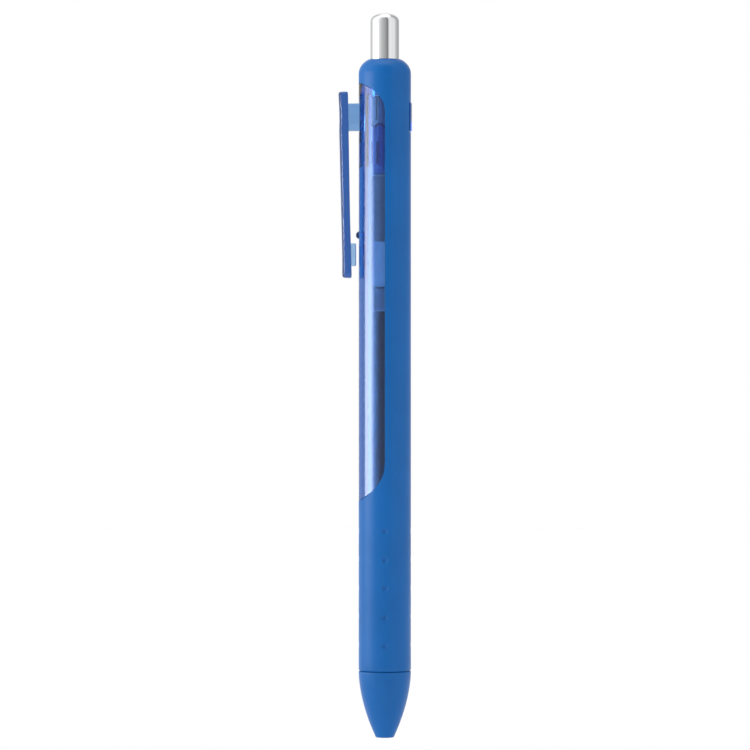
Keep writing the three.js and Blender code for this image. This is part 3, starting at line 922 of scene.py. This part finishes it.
class PEN_OT_refill(bpy.types.Operator):
    """Refill: tube, plug, grease, ink, tip holder, metal point and ball"""

    bl_idname = "pen.refill"
    bl_label = "Refill"
    bl_options = {"REGISTER", "UNDO"}

    def execute(self, context):
        sizes = context.scene.pen_sizes
        colours = context.scene.pen_colours
        steps = sizes.ring_steps
        low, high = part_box("refill_tube")
        bore, fill_play = 2.35 * MM, 0.02 * MM
        tube = [
            (bore, low.z),
            (high.x, low.z, 0.05 * MM),
            (high.x, high.z, 0.12 * MM),
            (bore, high.z, 0.08 * MM),
        ]
        piece = turned("tube_wall", fillet(tube), steps)
        material = clear_filling("polypropylene_clear_drawn", linear("#EEF4FC"), 1.49, 0.2, 1.5)
        settled(piece, "refill", "refill_tube", material)
        self.plug(steps, colours)
        fill = bore - fill_play
        low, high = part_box("grease_follower")
        edge = 0.2 * MM
        grease = [(0, low.z)] + arc((fill - edge, low.z + edge), edge, -90, 0, 4)
        grease += [(fill, high.z), (fill * 0.8, high.z - 0.35 * MM), (fill * 0.4, high.z - 0.6 * MM)]
        grease.append((0, high.z - 0.68 * MM))
        piece = turned("follower", grease, steps, closed=False)
        material = clear_filling("grease_clear_filled", linear("#DDE6F4"), 1.46, 0.1, 0.7)
        settled(piece, "refill", "grease_follower", material)
        low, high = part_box("ink_column")
        ink = [(0, low.z), (fill, low.z), (fill, high.z - 0.1 * MM), (fill * 0.8, high.z)]
        ink.append((0, high.z + 0.05 * MM))
        piece = turned("ink_fill", ink, steps, closed=False)
        material = moulded_plastic("ink_oil_based", colours.ink, 0.12, grain_mm=1.2)
        settled(piece, "refill", "ink_column", material)
        self.tip(steps)
        return {"FINISHED"}

    def plug(self, steps, colours):
        """Ribbed plug pressed into the top of the tube."""
        low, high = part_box("refill_end_plug")
        out, bore, chamfer = high.x, 0.5 * MM, 0.5 * MM
        groove = out - 0.12 * MM
        first_rib, pitch, slope, crest = 1.2 * MM, 2.2 * MM, 0.3 * MM, 0.6 * MM
        profile = [(bore, low.z), (out - 0.35 * MM, low.z), (out - 0.05 * MM, low.z + chamfer)]
        at = low.z + first_rib
        while at < high.z - pitch:
            profile += [(groove, at), (out, at + slope), (out, at + crest)]
            profile.append((groove, at + crest + slope))
            at += pitch
        profile += [(out, high.z - 0.6 * MM), (out, high.z), (bore, high.z)]
        piece = turned("end_plug", fillet(profile), steps)
        material = moulded_plastic("polyethylene_milky_moulded", colours.plug, 0.35)
        settled(piece, "refill", "refill_end_plug", material)

    def tip(self, steps):
        """Tip holder, metal point and ball."""
        low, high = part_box("tip_holder")
        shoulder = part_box("refill_tube")[0].z - 0.15 * MM
        flange = shoulder - 2.8 * MM
        bore, neck, collar, insert = 0.86 * MM, 1.5 * MM, 2.8 * MM, 2.29 * MM
        holder = [
            (bore, low.z),
            (neck, low.z, 0.2 * MM),
            (neck, flange, 0.15 * MM),
            (collar, flange, 0.2 * MM),
            (collar, shoulder, 0.05 * MM),
            (insert, shoulder),
            (insert, high.z, 0.2 * MM),
            (bore, high.z),
        ]
        piece = turned("tip_collar", fillet(holder), steps)
        material = moulded_plastic("polypropylene_white_moulded", linear("#E8EAEC"), 0.35)
        settled(piece, "refill", "tip_holder", material)
        low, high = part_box("point_cone")
        shank = high.z - 4.6 * MM
        socket, duct, tail, groove, body = 0.4 * MM, 0.25 * MM, 0.8 * MM, 0.98 * MM, 1.05 * MM
        edge = 0.04 * MM
        cone = [
            (socket, low.z),
            (0.46 * MM, low.z, 0.03 * MM),
            (0.62 * MM, low.z + 0.9 * MM, 0.1 * MM),
            (body, low.z + 3.2 * MM, 0.3 * MM),
            (body, shank - 1.6 * MM, edge),
            (groove, shank - 1.5 * MM, edge),
            (groove, shank - 1.2 * MM, edge),
            (body, shank - 1.1 * MM, edge),
            (body, shank, 0.06 * MM),
            (tail, shank),
            (tail, high.z),
            (duct, high.z),
            (duct, low.z + 0.6 * MM),
            (socket, low.z + 0.5 * MM),
        ]
        piece = turned("metal_point", fillet(cone), steps)
        material = turned_metal("nickel_silver_turned", linear("#D8D2C4"), 0.18, 0.754)
        settled(piece, "refill", "point_cone", material)
        low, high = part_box("writing_ball")
        middle, radius = (low.z + high.z) / 2, (high.z - low.z) / 2
        piece = turned("ball_bearing", arc((0, middle), radius, -90, 90, 24), 48, closed=False)
        material = turned_metal("carbide_ground", linear("#9A9CA2"), 0.1, 0.314)
        settled(piece, "ball", "writing_ball", material)


class PEN_OT_spring(bpy.types.Operator):
    """Return spring with closed end turns"""

    bl_idname = "pen.spring"
    bl_label = "Return spring"
    bl_options = {"REGISTER", "UNDO"}

    def execute(self, context):
        sizes = context.scene.pen_sizes
        low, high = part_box("return_spring")
        wire = sizes.wire / 2
        radius = high.x - wire
        per_turn, sides = 40, 12
        open_turns = sizes.spring_turns - 2
        close_pitch = 1.15 * sizes.wire
        pitch = (high.z - low.z - sizes.wire - 2 * close_pitch) / open_turns
        sections = []
        for i in range(sizes.spring_turns * per_turn + 1):
            turn = i / per_turn
            spread = min(max(turn - 1, 0), open_turns)
            z = low.z + wire + (turn - spread) * close_pitch + spread * pitch
            ring = [math.radians(360 * k / sides) for k in range(sides)]
            sections.append(
                [on_ring(360 * turn, radius + wire * math.cos(a), z + wire * math.sin(a)) for a in ring]
            )
        piece = lofted("spring_coil", sections)
        material = turned_metal("spring_steel_drawn", linear("#C4C6CA"), 0.25, 2.513)
        settled(piece, "spring", "return_spring", material)
        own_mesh(piece)
        return {"FINISHED"}


class PEN_OT_stage(bpy.types.Operator):
    """Pale floor, soft studio light and the camera"""

    bl_idname = "pen.stage"
    bl_label = "Stage"
    bl_options = {"REGISTER", "UNDO"}

    def execute(self, context):
        colours = context.scene.pen_colours
        self.floor(colours)
        self.light()
        self.camera()
        return {"FINISHED"}

    def floor(self, colours):
        """A large sheet of paper just below the point at its furthest."""
        half, steps, drop = 1.2, 6, 7 * MM
        marks = [half * (2 * i / steps - 1) for i in range(steps + 1)]
        bm = bmesh.new()
        grid_faces(bm, [[bm.verts.new((x, y, -drop)) for y in marks] for x in marks])
        floor = finished("floor", bm)
        floor.data.materials.append(studio_paper(colours.floor))

    def light(self):
        """Softboxes on both sides and a bright room, as a world that changes with direction."""
        # Angles in degrees from the camera's side, left to right, each with its brightness.
        behind_left = [(-180, 1.0), (-165, 1.0), (-150, 0.65), (-144, 0.58), (-124, 0.82), (-109, 1.05)]
        left_softbox = [(-100, 1.6), (-62, 1.6), (-56, 1.15), (-47, 1.0), (-39, 0.84), (-30, 0.71)]
        dark_middle = [(-22, 0.61), (-14, 0.55), (-6, 0.5), (2, 0.45), (10, 0.37), (17, 0.29), (27, 0.26)]
        right_softbox = [(31, 0.83), (42, 1.0), (60, 0.95), (70, 0.9), (79, 1.0), (89, 0.79), (101, 0.6)]
        behind_right = [(115, 0.5), (131, 0.41), (150, 0.65), (165, 1.0), (180, 1.0)]
        around = behind_left + left_softbox + dark_middle + right_softbox + behind_right
        core_around = [(-101, 0), (-94, 1), (-62, 1), (-50, 0)]
        core_brightness, ceiling = 7.5, (2.2, 2.2, 2.2, 1)
        brightest = max(value for _, value in around)
        times = {"data_type": "RGBA", "blend_type": "MULTIPLY"}
        plus = {"data_type": "RGBA", "blend_type": "ADD"}
        soft = {"interpolation_type": "SMOOTHSTEP"}
        world = bpy.data.worlds.new("studio")
        bpy.context.scene.world = world
        world.use_nodes = True
        tree = world.node_tree
        tree.nodes.clear()
        place = add_node(tree, "ShaderNodeTexCoord").outputs["Generated"]
        parts = add_node(tree, "ShaderNodeSeparateXYZ", inputs={"Vector": place})
        sockets = {0: parts.outputs["Y"], 1: -1.0}
        towards = add_node(tree, "ShaderNodeMath", {"operation": "MULTIPLY"}, sockets)
        sockets = {0: parts.outputs["X"], 1: towards.outputs[0]}
        angle = add_node(tree, "ShaderNodeMath", {"operation": "ARCTAN2"}, sockets)
        sockets = {"Value": angle.outputs[0], "From Min": -math.pi, "From Max": math.pi}
        share = add_node(tree, "ShaderNodeMapRange", inputs=sockets).outputs["Result"]
        # The ramp holds shares of the brightest stretch, and the next node multiplies them back.
        stops = [((a + 180) / 360, [v / brightest] * 3 + [1]) for a, v in around]
        ramp = add_node(tree, "ShaderNodeValToRGB", inputs={"Fac": share}, stops=stops)
        sockets = {"Factor": 1.0, 6: ramp.outputs["Color"], 7: (brightest, brightest, brightest, 1)}
        sides = add_node(tree, "ShaderNodeMix", times, sockets)
        # The left softbox's bright core is lower than the rest of it, and fades upwards.
        stops = [((a + 180) / 360, [v] * 3 + [1]) for a, v in core_around]
        core = add_node(tree, "ShaderNodeValToRGB", inputs={"Fac": share}, stops=stops)
        above = add_node(tree, "ShaderNodeMath", {"operation": "ADD"}, {0: parts.outputs["Z"], 1: 0.05})
        height = add_node(tree, "ShaderNodeMath", {"operation": "ABSOLUTE"}, {0: above.outputs[0]})
        fade = {"From Min": 0.05, "From Max": 0.19, "To Min": core_brightness, "To Max": 0.0}
        low = add_node(tree, "ShaderNodeMapRange", soft, {"Value": height.outputs[0], **fade})
        sockets = {"Factor": 1.0, 6: core.outputs["Color"], 7: low.outputs["Result"]}
        glow = add_node(tree, "ShaderNodeMix", times, sockets)
        sockets = {"Factor": 1.0, 6: sides.outputs[2], 7: glow.outputs[2]}
        walls = add_node(tree, "ShaderNodeMix", plus, sockets)
        fade = {"From Min": 0.85, "From Max": 0.99}
        up = add_node(tree, "ShaderNodeMapRange", soft, {"Value": parts.outputs["Z"], **fade})
        sockets = {"Factor": up.outputs["Result"], 6: walls.outputs[2], 7: ceiling}
        room = add_node(tree, "ShaderNodeMix", {"data_type": "RGBA"}, sockets)
        lit = add_node(tree, "ShaderNodeBackground", inputs={"Color": room.outputs[2]})
        # The camera sees a plain white backdrop in place of the room.
        plain = add_node(tree, "ShaderNodeBackground", inputs={"Color": (1, 1, 1, 1)})
        path = add_node(tree, "ShaderNodeLightPath")
        sockets = {0: path.outputs["Is Camera Ray"], 1: lit.outputs[0], 2: plain.outputs[0]}
        chosen = add_node(tree, "ShaderNodeMixShader", inputs=sockets)
        add_node(tree, "ShaderNodeOutputWorld", inputs={"Surface": chosen.outputs[0]})
        world.cycles.sampling_method = "MANUAL"
        world.cycles.sample_map_resolution = 1024

    def camera(self):
        """A long lens at the height of the pen's middle."""
        away, aside, height = 760 * MM, -1.96 * MM, 72.44 * MM
        data = bpy.data.cameras.new("camera")
        data.sensor_width = 36
        data.lens = 182.4
        camera = bpy.data.objects.new("camera", data)
        camera.location = (aside, -away, height)
        camera.rotation_euler = (math.radians(90), 0, 0)
        bpy.context.scene.collection.objects.link(camera)
        bpy.context.scene.camera = camera
        bpy.context.scene.view_settings.view_transform = "Standard"


class PEN_PT_panel(bpy.types.Panel):
    """Lists the pen's pieces, sizes and colours"""

    bl_idname = "PEN_PT_panel"
    bl_label = "Ballpoint pen"
    bl_space_type = "VIEW_3D"
    bl_region_type = "UI"
    bl_category = "Pen"

    def draw(self, context):
        layout = self.layout
        for operator in OPERATORS:
            layout.operator(operator.bl_idname)
        for group in (context.scene.pen_sizes, context.scene.pen_colours):
            box = layout.box()
            for name in group.__annotations__:
                box.prop(group, name)


OPERATORS = (
    PEN_OT_stage,
    PEN_OT_grip,
    PEN_OT_nose,
    PEN_OT_barrel,
    PEN_OT_clip,
    PEN_OT_button,
    PEN_OT_cam,
    PEN_OT_refill,
    PEN_OT_spring,
)
CLASSES = (PenSizes, PenColours, *OPERATORS, PEN_PT_panel)


def register():
    """Adds the classes, and the sizes and colours to the scene."""
    for cls in CLASSES:
        bpy.utils.register_class(cls)
    bpy.types.Scene.pen_sizes = PointerProperty(type=PenSizes)
    bpy.types.Scene.pen_colours = PointerProperty(type=PenColours)


def unregister():
    """Takes them away again."""
    del bpy.types.Scene.pen_colours
    del bpy.types.Scene.pen_sizes
    for cls in reversed(CLASSES):
        bpy.utils.unregister_class(cls)


def main():
    """Builds the pen and its stage."""
    register()
    for operator in OPERATORS:
        getattr(bpy.ops.pen, operator.bl_idname.split(".")[1])()


if __name__ == "__main__":
    main()
